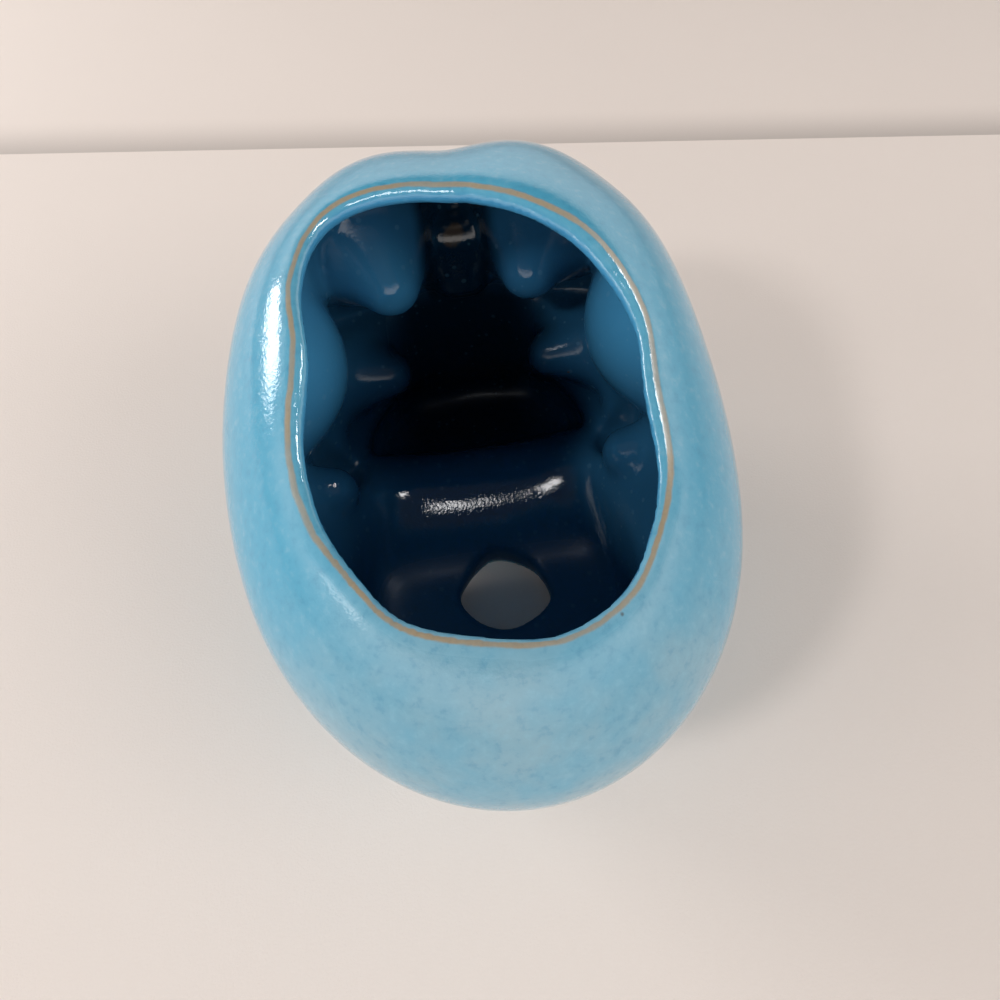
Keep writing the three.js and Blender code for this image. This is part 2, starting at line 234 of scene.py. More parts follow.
def share(name, description, default, top=1.0):
    """A plain number from nought to a top value."""
    return bpy.props.FloatProperty(name=name, description=description, default=default, min=0.0, max=top)


class PlanterClay(bpy.types.PropertyGroup):
    """Sizes of the casting."""
    wall: millimetres("Wall", "Thickness of the slip-cast wall", 6)
    floor: millimetres("Floor", "Thickness of the clay over the foot", 6)
    rim_round: millimetres("Rim rounding", "Width of the glaze-softened edge of the crown's rim", 7.5)
    drain_round: millimetres("Drain rounding", "Width of the softened edge of the drain hole", 2.25)
    skin_step: millimetres("Skin step", "Spacing of the points on the clay's skin", 1.32)


class PlanterPads(bpy.types.PropertyGroup):
    """Sizes of the stick-on pads."""
    radius: millimetres("Radius", "Radius of a pad", PAD_SIZE.x / 2 / MM)
    height: millimetres("Height", "Height of a pad", PAD_SIZE.z / MM)
    edge: millimetres("Edge", "Rounding of a pad's lower edge", 0.6)
    sides: bpy.props.IntProperty(name="Sides", description="Sides of a pad's circle", default=48, min=8)


class PlanterFinish(bpy.types.PropertyGroup):
    """Colours of the glaze, the painted shade inside the pot, the bare clay and the pads."""
    glaze: colour("Glaze", "Turquoise glaze at its usual thickness", (0.055, 0.315, 0.475))
    pooled: colour("Pooled glaze", "Glaze that has run together in a hollow", (0.03, 0.20, 0.34))
    inner: colour("Inside glaze", "Glaze inside the pot, below the rim", (0.055, 0.26, 0.46))
    # The deep and darkest colours are painted shade, down the pot and behind the face
    deep: colour("Deep painted shade", "Painted shade down the pot", (0.015, 0.08, 0.17))
    darkest: colour("Darkest painted shade", "Painted shade down behind the face", (0.003, 0.018, 0.038))
    thin: colour("Thin glaze", "Glaze that has drawn off an edge", (0.22, 0.44, 0.56))
    milky: colour("Milky glaze", "Glaze that has clouded down the back of the skull", (0.25, 0.38, 0.44))
    clay: colour("Bare clay", "Fired clay along the rim and under the foot", (0.38, 0.27, 0.145))
    iron: colour("Iron specks", "Dark specks that burn through the glaze", (0.07, 0.05, 0.035))
    pad: colour("Pad rubber", "Rubber of the stick-on pads", (0.70, 0.68, 0.63))
    gloss: share("Glaze roughness", "Roughness of the glaze", 0.045)
    rim_line: millimetres("Bare line", "Half the width of the bare line along the rim", 0.8)


class PlanterStage(bpy.types.PropertyGroup):
    """Camera, cloth and lights."""
    cloth: colour("Cloth", "Pale cloth that the planter stands on", (0.83, 0.73, 0.67))
    horizon: share("Horizon", "Strength of the light from the foot of the room's walls", 0.95, 10.0)
    room: share("Room light", "Strength of the light from the room's walls", 1.55, 10.0)
    overhead: share("Overhead light", "Strength of the light from straight above", 0.08, 10.0)
    lamps: share("Lamps", "Strength of every lamp", 1.0, 10.0)


# Shape of the clay


def eased(value, start, end):
    """Nought before a start and one after an end, eased between them."""
    part = np.clip((value - start) / (end - start), 0, 1)
    return part * part * (3 - 2 * part)


def blended_union(a, b, width):
    """Smaller of two distances, with the corner between them filled to a fillet."""
    overlap = np.maximum(width - np.abs(a - b), 0) / width
    return np.minimum(a, b) - overlap ** 3 * width / 6


def blended_cut(a, b, width):
    """A body with another taken out of it, the edge rounded over a width."""
    return -blended_union(-a, b, width)


def ellipsoid(x, y, z, centre, radii):
    """Distance to an ellipsoid, near enough to true within a wall's thickness of it."""
    px, py, pz = ((value - middle) / radius for value, middle, radius in zip((x, y, z), centre, radii))
    reach = np.sqrt(px * px + py * py + pz * pz)
    slope = np.sqrt((px / radii[0]) ** 2 + (py / radii[1]) ** 2 + (pz / radii[2]) ** 2)
    return reach * (reach - 1) / np.maximum(slope, 1e-9)


def rod(x, y, z, ends, radii):
    """Distance to a tapered rod with ball ends."""
    start, end = np.array(ends, float)
    axis = end - start
    length2 = axis @ axis
    taper = radii[0] - radii[1]
    side2 = length2 - taper * taper
    px, py, pz = x - start[0], y - start[1], z - start[2]
    along = px * axis[0] + py * axis[1] + pz * axis[2]
    beyond = along - length2
    off2 = sum((p * length2 - part * along) ** 2 for p, part in zip((px, py, pz), axis))
    along2 = along * along * length2
    beyond2 = beyond * beyond * length2
    edge = np.sign(taper) * taper * taper * off2
    side = (np.sqrt(off2 * side2 / length2) + along * taper) / length2 - radii[0]
    near = np.sqrt(off2 + along2) / length2 - radii[0]
    far = np.sqrt(off2 + beyond2) / length2 - radii[1]
    return np.where(np.sign(beyond) * side2 * beyond2 > edge, far,
                    np.where(np.sign(along) * side2 * along2 < edge, near, side))


FORMS = {"ellipsoid": ellipsoid, "rod": rod}


def midline(y, z):
    """Middle of the skull across its width, at a distance along it and a level."""
    ahead = TURN_START - y
    turned = FACE_TURN * (ahead + np.hypot(ahead, TURN_EASE)) / 2
    return MIDLINE_START + SIDE_LEAN * (z - LEAN_LEVEL) - turned


def skull_form(x, y, z, depth, floor_level):
    """The skull's outside at no depth, or its inside a wall's depth below, with softer corners."""
    inside = depth > 0
    softening = INNER_SOFTENING if inside else 0
    side = np.hypot(x - midline(y, z), MIDLINE_EASE)
    distance = None
    for kind, place, radii, blend in MASSES.values():
        mass = FORMS[kind](side, y, z, place, radii) + depth
        distance = mass if distance is None else blended_union(distance, mass, blend + softening)
    for kind, place, radii, lip, clay in HOLLOWS.values():
        if not inside:
            distance = blended_cut(distance, FORMS[kind](side, y, z, place, radii), lip)
        elif clay:
            hollow = FORMS[kind](side, y, z, place, radii) - clay
            distance = blended_cut(distance, hollow, lip + HOLLOW_SOFTENING)
    for kind, place, radii, blend in SWELLINGS.values() if inside else ():
        distance = blended_cut(distance, FORMS[kind](side, y, z, place, radii), blend)
    return blended_cut(distance, z - floor_level, FOOT_ROUND + softening)


def tooth_blocks(x, y, z):
    """Distance to the nearest tooth."""
    nearest = np.full(np.shape(x), np.inf)
    for level, half_height in TOOTH_ROWS:
        for place in range(TEETH_PER_SIDE):
            turn = (place + 0.5) * TOOTH_PITCH
            tooth_y = ARCH_CENTRE_Y - ARCH_DEPTH * math.cos(turn)
            out = np.abs(x - midline(tooth_y, level)) - ARCH_HALF_WIDTH * math.sin(turn)
            across = out * math.cos(turn) + (y - tooth_y) * math.sin(turn)
            through = (y - tooth_y) * math.cos(turn) - out * math.sin(turn)
            past = [np.abs(value) - (half - TOOTH_ROUND) for value, half in (
                (across, TOOTH_HALF_WIDTH), (through, TOOTH_HALF_DEPTH), (z - level, half_height))]
            corner = np.sqrt(sum(np.maximum(value, 0) ** 2 for value in past))
            flat = np.minimum(np.maximum(np.maximum(past[0], past[1]), past[2]), 0)
            nearest = np.minimum(nearest, corner + flat - TOOTH_ROUND)
    return nearest


class HandCut:
    """Closed outline cut by hand through points, measured outwards from its middle."""

    def __init__(self, points, middle):
        self.middle = np.array(middle, float)
        knots = np.array(points, float)
        before, after, later = (np.roll(knots, shift, 0) for shift in (1, -1, -2))
        outline = []
        for t in np.arange(OUTLINE_STEPS) / OUTLINE_STEPS:
            outline.append(0.5 * (2 * knots + (after - before) * t
                                  + (2 * before - 5 * knots + 4 * after - later) * t ** 2
                                  + (3 * knots - before - 3 * after + later) * t ** 3))
        spokes = np.concatenate(outline) - self.middle
        angle = np.arctan2(spokes[:, 1], spokes[:, 0])
        order = np.argsort(angle)
        self.angle = angle[order]
        self.radius = np.hypot(spokes[:, 0], spokes[:, 1])[order]
        self.steepness = 0.9

    def distance(self, x, y):
        """How far a point is outside the outline."""
        px, py = x - self.middle[0], y - self.middle[1]
        radius = np.interp(np.arctan2(py, px), self.angle, self.radius, period=2 * math.pi)
        return (np.hypot(px, py) - radius) * self.steepness


class Casting:
    """The clay of the planter as fields of distance in millimetres."""

    def __init__(self, clay):
        self.wall = clay.wall / MM
        self.floor = clay.floor / MM
        self.rim_round = clay.rim_round / MM
        self.drain_round = clay.drain_round / MM
        self.rim = HandCut(RIM_POINTS, RIM_MIDDLE)
        self.drain = HandCut(DRAIN_POINTS, DRAIN_MIDDLE)

    def outside(self, x, y, z):
        """The outside of the skull with its teeth, before any cut."""
        return blended_union(skull_form(x, y, z, 0, FOOT_LEVEL), tooth_blocks(x, y, z), TOOTH_GUM_BLEND)

    def inside(self, x, y, z):
        """The hollow of the pot."""
        return skull_form(x, y, z, self.wall, FOOT_LEVEL + self.floor)

    def bare_line(self, x, y, z):
        """How far a point is outside the line along the lip, which leans as the knife does."""
        upright = BACK_UPRIGHT * eased(y, BACK_START, BACK_END)
        leaning = KNIFE_LEAN * (RIM_LEVEL - z) - upright * (BACK_LEVEL - z)
        return self.rim.distance(x, y - leaning)

    def crown_cut(self, x, y, z):
        """What the knife takes out of the crown, a lip's width inside the line."""
        lip = LIP_ENDS + (LIP_SIDES - LIP_ENDS) * eased(y, *LIP_GROWS) * (1 - eased(y, *LIP_SHRINKS))
        return np.maximum(self.bare_line(x, y, z) + lip, CROWN_CUT_BOTTOM - z)

    def drain_cut(self, x, y, z):
        """What the knife takes out of the floor."""
        return np.maximum(self.drain.distance(x, y), z - DRAIN_TOP)

    def clay(self, x, y, z):
        """The finished wall."""
        wall = blended_cut(self.outside(x, y, z), self.inside(x, y, z), WALL_EDGE_BLEND)
        wall = blended_cut(wall, self.crown_cut(x, y, z), self.rim_round)
        return blended_cut(wall, self.drain_cut(x, y, z), self.drain_round)


def slope(field, points, probe):
    """Slope of a field at points, with the field's even second difference."""
    here = field(*points.T)
    gradient = np.empty_like(points)
    bend = np.zeros(len(points))
    for axis in range(3):
        step = np.zeros(3)
        step[axis] = probe
        ahead, behind = field(*(points + step).T), field(*(points - step).T)
        gradient[:, axis] = (ahead - behind) / (2 * probe)
        bend += (ahead + behind - 2 * here) / probe ** 2
    return here, gradient, bend


def settle(field, points):
    """Moves points along the field's slope until they lie on the surface."""
    probe, least_steepness, longest_step, rounds = 0.05, 0.25, 0.5, 3
    for _ in range(rounds):
        value, gradient, _ = slope(field, points, probe)
        steepness = np.maximum((gradient ** 2).sum(1), least_steepness)
        points = points - (np.clip(value, -longest_step, longest_step) / steepness)[:, None] * gradient
    return points


def clear_crossed_faces(values):
    """Moves a corner of each grid face whose opposite corners are alike, so that no two sheets meet."""
    just_across = 0.01
    crossed = True
    while crossed:
        crossed = False
        for axis in range(3):
            u, v = (axis + 1) % 3, (axis + 2) % 3
            corner = []
            for du, dv in ((0, 0), (1, 0), (1, 1), (0, 1)):
                cut = [slice(None)] * 3
                cut[u] = slice(du, values.shape[u] - 1 + du)
                cut[v] = slice(dv, values.shape[v] - 1 + dv)
                corner.append(values[tuple(cut)] < 0)
            bad = (corner[0] == corner[2]) & (corner[1] == corner[3]) & (corner[0] != corner[1])
            for place in np.argwhere(bad):
                nodes = []
                for du, dv in ((0, 0), (1, 0), (1, 1), (0, 1)):
                    node = place.copy()
                    node[u] += du
                    node[v] += dv
                    nodes.append(tuple(node))
                nearest = min(nodes, key=lambda node: abs(values[node]))
                values[nearest] = just_across if values[nearest] < 0 else -just_across
                crossed = True


def skin(field, low, high, step):
    """Closed skin of a field: a point in each crossed grid cell, and a face across each crossed grid edge."""
    lines = [np.arange(a, b + step, step) for a, b in zip(low, high)]
    x, y = np.meshgrid(lines[0], lines[1], indexing="ij")
    values = np.stack([field(x, y, np.full_like(x, z)) for z in lines[2]], axis=2)
    clear_crossed_faces(values)
    total = np.zeros(values.shape + (3,))
    count = np.zeros(values.shape)
    edges = []
    for axis in range(3):
        start = [slice(None)] * 3
        start[axis] = slice(None, -1)
        end = [slice(None)] * 3
        end[axis] = slice(1, None)
        a, b = values[tuple(start)], values[tuple(end)]
        node = np.argwhere((a < 0) != (b < 0))
        from_value, to_value = a[tuple(node.T)], b[tuple(node.T)]
        point = np.stack([lines[i][node[:, i]] for i in range(3)], axis=1)
        point[:, axis] += step * from_value / (from_value - to_value)
        around = []
        for du, dv in ((-1, -1), (0, -1), (0, 0), (-1, 0)):
            cell = node.copy()
            cell[:, (axis + 1) % 3] += du
            cell[:, (axis + 2) % 3] += dv
            np.add.at(total, tuple(cell.T), point)
            np.add.at(count, tuple(cell.T), 1)
            around.append(cell)
        edges.append((around, from_value < 0))
    cells = count > 0
    number = np.full(values.shape, -1)
    number[cells] = np.arange(cells.sum())
    points = settle(field, total[cells] / count[cells][:, None])
    faces = []
    for around, outwards in edges:
        quad = np.stack([number[tuple(cell.T)] for cell in around], axis=1)
        quad[~outwards] = quad[~outwards][:, ::-1]
        faces.append(quad)
    return points, np.concatenate(faces)


# Shader and node helpers


def feed(tree, node, inputs):
    """Sets or links a node's inputs by name or number."""
    for key, value in inputs.items():
        if isinstance(value, bpy.types.NodeSocket):
            tree.links.new(value, node.inputs[key])
        else:
            node.inputs[key].default_value = value
    return node


def add(tree, kind, inputs=None, **settings):
    """Adds a node with its options and inputs."""
    made = tree.nodes.new(kind)
    for key, value in settings.items():
        setattr(made, key, value)
    return feed(tree, made, inputs or {})


def math_node(tree, operation, *values):
    """A Math node's result."""
    return add(tree, "ShaderNodeMath", dict(enumerate(values)), operation=operation).outputs[0]


def product(tree, first, *others):
    """Values multiplied together."""
    for other in others:
        first = math_node(tree, "MULTIPLY", first, other)
    return first


def largest(tree, first, *others):
    """Largest of several values."""
    for other in others:
        first = math_node(tree, "MAXIMUM", first, other)
    return first


def ramp(tree, value, low, high, out_low=0.0, out_high=1.0):
    """A value eased from one range to another."""
    inputs = {"Value": value, 1: low, 2: high, 3: out_low, 4: out_high}
    return add(tree, "ShaderNodeMapRange", inputs, interpolation_type="SMOOTHSTEP").outputs[0]


def band(tree, place, span, out_low=0.0, out_high=1.0):
    """A place eased over a span that is given in millimetres."""
    start, end = span
    return ramp(tree, place, start * MM, end * MM, out_low, out_high)


def fading(tree, value, start, end):
    """One before a start and nought after an end, eased between them."""
    return ramp(tree, value, start, end, 1.0, 0.0)


def mix_colour(tree, factor, a, b):
    """A blend of two colours."""
    return add(tree, "ShaderNodeMix", {0: factor, 6: a, 7: b}, data_type="RGBA").outputs[2]


def mix_value(tree, factor, a, b):
    """A blend of two numbers."""
    return add(tree, "ShaderNodeMix", {0: factor, 2: a, 3: b}, data_type="FLOAT").outputs[0]


def opaque(values):
    """A colour with full cover."""
    return (*values, 1.0)


def new_group(name, inputs, outputs):
    """A shader group with named inputs and outputs."""
    tree = bpy.data.node_groups.new(name, "ShaderNodeTree")
    for socket, kind, default in inputs:
        made = tree.interface.new_socket(socket, in_out="INPUT", socket_type=kind)
        if default is not None:
            made.default_value = default
    for socket, kind in outputs:
        tree.interface.new_socket(socket, in_out="OUTPUT", socket_type=kind)
    return tree, tree.nodes.new("NodeGroupInput").outputs, tree.nodes.new("NodeGroupOutput").inputs


def place_group(tree, group, inputs):
    """A shader group placed in a tree with its own values."""
    made = tree.nodes.new("ShaderNodeGroup")
    made.node_tree = group
    return feed(tree, made, inputs).outputs


def grain_group():
    """Fine grain of a fired or moulded surface: a value round a half."""
    tree, given, out = new_group(
        "Fine grain",
        (("Vector", "NodeSocketVector", None), ("Scale", "NodeSocketFloat", 800.0),
         ("Detail", "NodeSocketFloat", 4.0)),
        (("Value", "NodeSocketFloat"),))
    noise = add(tree, "ShaderNodeTexNoise", {"Vector": given["Vector"], "Scale": given["Scale"],
                                            "Detail": given["Detail"], "Roughness": 0.6})
    tree.links.new(noise.outputs["Fac"], out["Value"])
    return tree


def speck_group():
    """Scattered round specks: a mask that is one inside a speck."""
    tree, given, out = new_group(
        "Scattered specks",
        (("Vector", "NodeSocketVector", None), ("Scale", "NodeSocketFloat", 100.0),
         ("Size", "NodeSocketFloat", 0.1), ("Share", "NodeSocketFloat", 0.2)),
        (("Mask", "NodeSocketFloat"),))
    cells = add(tree, "ShaderNodeTexVoronoi", {"Vector": given["Vector"], "Scale": given["Scale"]})
    chance = add(tree, "ShaderNodeSeparateColor", {0: cells.outputs["Color"]})
    kept = math_node(tree, "LESS_THAN", chance.outputs[0], given["Share"])
    smallest, core = 0.4, 0.6
    size = product(tree, given["Size"], math_node(tree, "ADD", chance.outputs[1], smallest))
    round_speck = fading(tree, cells.outputs["Distance"], product(tree, size, core), size)
    tree.links.new(product(tree, round_speck, kept), out["Mask"])
    return tree


def new_material(name):
    """An empty node material with its output."""
    material = bpy.data.materials.new(name)
    material.use_nodes = True
    material.node_tree.nodes.clear()
    tree = material.node_tree
    return material, tree, tree.nodes.new("ShaderNodeOutputMaterial")


def attribute(tree, name):
    """A value kept on the mesh's points."""
    return add(tree, "ShaderNodeAttribute", attribute_name=name).outputs["Fac"]


def grain_value(tree, grain, place, pattern):
    """Grain at a pattern's scale and detail."""
    scale, detail = pattern
    return place_group(tree, grain, {"Vector": place, "Scale": scale, "Detail": detail})["Value"]


def outer_glaze(tree, finish, y, bend, cloudy):
    """Glaze by its thickness: deep in hollows, thin on edges, clouded all over and milky down the back."""
    uneven = math_node(tree, "MULTIPLY_ADD", cloudy, CLOUD_SWING, -CLOUD_SWING / 2)
    thickness = math_node(tree, "SUBTRACT", uneven, product(tree, bend, BEND_DRAW))
    pooled = product(tree, ramp(tree, thickness, *POOLED_THICKNESS), POOLED_SHARE)
    thin = product(tree, ramp(tree, thickness, *THIN_THICKNESS), THIN_SHARE)
    milky = product(tree, band(tree, y, MILKY_ALONG), ramp(tree, cloudy, *MILKY_CLOUDS))
    tone = mix_colour(tree, pooled, opaque(finish.glaze), opaque(finish.pooled))
    tone = mix_colour(tree, thin, tone, opaque(finish.thin))
    return mix_colour(tree, milky, tone, opaque(finish.milky))


def pit_shade_mask(tree, y, z, off_middle):
    """Where shade is painted down behind the face, and how strongly."""
    return product(tree, band(tree, y, PIT_SHADE_ALONG), band(tree, z, PIT_SHADE_LEVEL),
                   band(tree, off_middle, PIT_SHADE_ACROSS, PIT_SHADE_SHARE, 1.0))


def inner_glaze_and_shade(tree, finish, parts, off_middle, pit_shade):
    """Glaze inside, with painted shade: darker down the pot, under the brow and on the right, darkest down behind the
    face and behind the nose.
    """
    x, y, z = parts
    painted_shade_down_pot = product(tree, band(tree, z, PAINTED_SHADE_LEVEL), band(tree, y, FLOOR_ALONG, 1.0, FLOOR_SHARE))
    painted_shade_under_brow = band(tree, y, BROW_ALONG, 0.0, BROW_SHARE)
    painted_shade_right = product(tree, band(tree, y, SHADED_ALONG), band(tree, x, SHADED_ACROSS, 0.0, SHADED_SHARE))
    painted_shade_behind_nose = product(tree, band(tree, y, NOSE_ALONG), band(tree, off_middle, NOSE_ACROSS))
    dark = largest(tree, painted_shade_down_pot, painted_shade_under_brow, painted_shade_right)
    tone = mix_colour(tree, dark, opaque(finish.inner), opaque(finish.deep))
    return mix_colour(tree, largest(tree, pit_shade, painted_shade_behind_nose), tone, opaque(finish.darkest))


def speckled(tree, finish, tone, place, inside, grain, specks):
    """Mottling outside, milky flecks in the glaze and iron specks burnt through it."""
    mottle = grain_value(tree, grain, place, MOTTLE)
    outside = math_node(tree, "SUBTRACT", 1.0, inside)
    dark, pale = (product(tree, ramp(tree, mottle, *steps), outside) for steps in (DARK_MOTTLE, PALE_MOTTLE))
    milk, iron = (place_group(tree, specks, {"Vector": place, **kind})["Mask"]
                  for kind in (MILK_FLECKS, IRON_SPECKS))
    tone = mix_colour(tree, dark, tone, opaque(finish.pooled))
    tone = mix_colour(tree, pale, tone, opaque(finish.thin))
    tone = mix_colour(tree, product(tree, milk, MILK_SHARE), tone, opaque(finish.thin))
    return mix_colour(tree, product(tree, iron, IRON_SHARE), tone, opaque(finish.iron))


def knob_mask(tree, place, waver):
    """Ragged break of the glaze on the knob behind the nose."""
    knob = [part * MM for part in KNOB_PLACE]
    away = add(tree, "ShaderNodeVectorMath", {0: place, 1: knob}, operation="DISTANCE").outputs["Value"]
    ragged = math_node(tree, "MULTIPLY_ADD", waver, KNOB_RAGGEDNESS * MM, -KNOB_RAGGEDNESS / 2 * MM)
    return fading(tree, math_node(tree, "ADD", away, ragged), 0.6 * KNOB_REACH * MM, KNOB_REACH * MM)


def glaze_material(finish, grain, specks):
    """Turquoise glaze that pools in hollows, breaks on edges, carries painted shade inside the pot, and leaves clay
    bare at the rim and foot.
    """
    material, tree, output = new_material("Turquoise glaze")
    place = add(tree, "ShaderNodeTexCoord").outputs["Object"]
    parts = tuple(add(tree, "ShaderNodeSeparateXYZ", {0: place}).outputs)
    x, y, z = parts
    across_rim, depth, bend = (attribute(tree, name) for name in ("across_rim", "depth", "bend"))
    cloudy, fine, waver = (grain_value(tree, grain, place, kind) for kind in (CLOUDS, FINE_GRAIN, WAVES))

    inside = ramp(tree, depth, *INSIDE_DEPTH)
    off_middle = math_node(tree, "ABSOLUTE", math_node(tree, "SUBTRACT", x, FACE_MIDDLE * MM))
    # Painted shade inside the pot: darker down it, under the brow, on the right and down behind the face and nose
    pit_shade = pit_shade_mask(tree, y, z, off_middle)
    tone = mix_colour(tree, inside, outer_glaze(tree, finish, y, bend, cloudy),
                      inner_glaze_and_shade(tree, finish, parts, off_middle, pit_shade))
    tone = speckled(tree, finish, tone, place, inside, grain, specks)
    tone = mix_colour(tree, product(tree, knob_mask(tree, place, waver), inside), tone, opaque(finish.iron))

    # Bare clay: a wavering line along the rim's crest, and the ground foot
    wavering = math_node(tree, "MULTIPLY_ADD", waver, LINE_WAVER, LINE_SHIFT)
    off_line = math_node(tree, "ABSOLUTE", math_node(tree, "ADD", across_rim, wavering))
    at_rim = product(tree, fading(tree, depth, *LINE_DEPTH), band(tree, z, LINE_LEVEL))
    line = fading(tree, off_line, *(edge * finish.rim_line / MM for edge in LINE_EDGES))
    line = product(tree, line, at_rim, ramp(tree, cloudy, *LINE_CLOUDS), LINE_SHARE)
    foot_edge = math_node(tree, "MULTIPLY_ADD", waver, FOOT_WAVER * MM, (FOOT_LEVEL - FOOT_DROP) * MM)
    foot = fading(tree, math_node(tree, "SUBTRACT", z, foot_edge), 0.0, FOOT_EDGE * MM)
    bare = largest(tree, line, foot)
    clay = mix_colour(tree, fine, opaque([DARK_CLAY * c for c in finish.clay]), opaque(finish.clay))
    tone = mix_colour(tree, bare, tone, clay)

    # Dull by the line at the back, on the floor and down behind the face
    by_line = product(tree, fading(tree, off_line, *DULL_BY_LINE), at_rim, band(tree, y, DULL_ALONG))
    on_floor = product(tree, band(tree, z, DULL_LEVEL), inside)
    dull = largest(tree, by_line, on_floor, product(tree, pit_shade, inside))
    roughness = mix_value(tree, bare, mix_value(tree, dull, finish.gloss, DULL_ROUGHNESS), CLAY_ROUGHNESS)
    ripple = add(tree, "ShaderNodeBump", {"Strength": 1.0, "Distance": RIPPLE_HEIGHT * MM, "Height": waver})
    peel = add(tree, "ShaderNodeBump", {
        "Strength": 1.0, "Distance": PEEL_HEIGHT * MM, "Height": fine, "Normal": ripple.outputs["Normal"]})
    shader = add(tree, "ShaderNodeBsdfPrincipled", {
        "Base Color": tone, "Roughness": roughness, "IOR": GLAZE_IOR, "Normal": peel.outputs["Normal"],
        "Specular IOR Level": mix_value(tree, dull, FULL_SHEEN, DULL_SHEEN)})
    tree.links.new(shader.outputs["BSDF"], output.inputs["Surface"])
    return material


def pad_material(finish, grain):
    """Matt pale rubber, faintly clouded."""
    material, tree, output = new_material("Pad rubber")
    place = add(tree, "ShaderNodeTexCoord").outputs["Object"]
    cloudy, fine = (grain_value(tree, grain, place, kind) for kind in (PAD_CLOUDS, PAD_GRAIN))
    tone = mix_colour(tree, cloudy, opaque([PAD_SHADE * c for c in finish.pad]), opaque(finish.pad))
    bump = add(tree, "ShaderNodeBump", {"Strength": 0.25, "Distance": 0.08 * MM, "Height": fine})
    roughness = ramp(tree, cloudy, *PAD_ROUGHNESS)
    shader = add(tree, "ShaderNodeBsdfPrincipled", {
        "Base Color": tone, "Roughness": roughness, "Normal": bump.outputs["Normal"]})
    tree.links.new(shader.outputs["BSDF"], output.inputs["Surface"])
    return material


def cloth_edge():
    """Lean of the cloth's straight edge, and where it crosses the middle."""
    (left_x, left_y), (right_x, right_y) = CLOTH_EDGE
    lean = (right_y - left_y) / (right_x - left_x)
    return lean, left_y - left_x * lean


def cloth_material(stage, grain):
    """Pale cloth with a fine grain, and a painted shadow below its edge."""
    material, tree, output = new_material("Pale cloth")
    place = add(tree, "ShaderNodeTexCoord").outputs["Object"]
    cloudy, fine = (grain_value(tree, grain, place, kind) for kind in (CLOTH_CLOUDS, CLOTH_GRAIN))
    pale, clouded, shaded = (opaque([part * c for c in stage.cloth]) for part in (1.0, CLOTH_CLOUDED, CLOTH_SHADED))
    x, y, z = add(tree, "ShaderNodeSeparateXYZ", {0: place}).outputs
    lean, level = cloth_edge()
    edge_y = math_node(tree, "MULTIPLY_ADD", x, lean, level)
    # Painted shadow on the lower cloth just beyond the edge
    near_edge = band(tree, math_node(tree, "SUBTRACT", edge_y, y), CLOTH_SHADE_REACH, 1.0, 0.0)
    below = math_node(tree, "LESS_THAN", z, LOWER_CLOTH / 2)
    tone = mix_colour(tree, product(tree, near_edge, below), mix_colour(tree, cloudy, clouded, pale), shaded)
    bump = add(tree, "ShaderNodeBump", {"Strength": 0.4, "Distance": 0.2 * MM, "Height": fine})
    shader = add(tree, "ShaderNodeBsdfPrincipled", {
        "Base Color": tone, "Roughness": 0.85, "Normal": bump.outputs["Normal"]})
    tree.links.new(shader.outputs["BSDF"], output.inputs["Surface"])
    return material


def shared_group(maker, name):
    """A shader group that is built once."""
    return bpy.data.node_groups.get(name) or maker()


def link_piece(name, mesh, nodes):
    """Puts a finished piece in the scene in place of its CAD nodes."""
    piece = bpy.data.objects.new(name, mesh)
    bpy.context.scene.collection.objects.link(piece)
    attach(piece, "root")
    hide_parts(*nodes)
    return piece


class PLANTER_OT_skull(bpy.types.Operator):
    """Makes the glazed skull from its clay field"""
    bl_idname = "planter.skull"
    bl_label = "Glazed skull"

    def execute(self, context):
        scene = context.scene
        casting = Casting(scene.planter_clay)
        points, faces = skin(casting.clay, REACH_LOW, REACH_HIGH, scene.planter_clay.skin_step / MM)
        if not len(faces):
            raise RuntimeError("the skull's field has no surface")
        mesh = bpy.data.meshes.new("Glazed skull")
        mesh.from_pydata((points * MM).tolist(), [], faces.tolist())
        mesh.polygons.foreach_set("use_smooth", np.ones(len(faces), bool))
        outside = casting.outside(*points.T)
        line = casting.bare_line(*points.T)
        _, _, bend = slope(casting.clay, points, BEND_PROBE)
        kept = {
            "across_rim": np.clip(outside + line, -ATTRIBUTE_REACH, ATTRIBUTE_REACH),
            "depth": np.clip(-outside, 0, ATTRIBUTE_REACH),
            "bend": np.clip(bend, -1, 1),
        }
        for name, values in kept.items():
            layer = mesh.attributes.new(name, "FLOAT", "POINT")
            layer.data.foreach_set("value", values.astype(np.float32))
        grain = shared_group(grain_group, "Fine grain")
        specks = shared_group(speck_group, "Scattered specks")
        mesh.materials.append(glaze_material(scene.planter_finish, grain, specks))
        link_piece("glazed_skull", mesh, [SKULL_NODE])
        return {"FINISHED"}


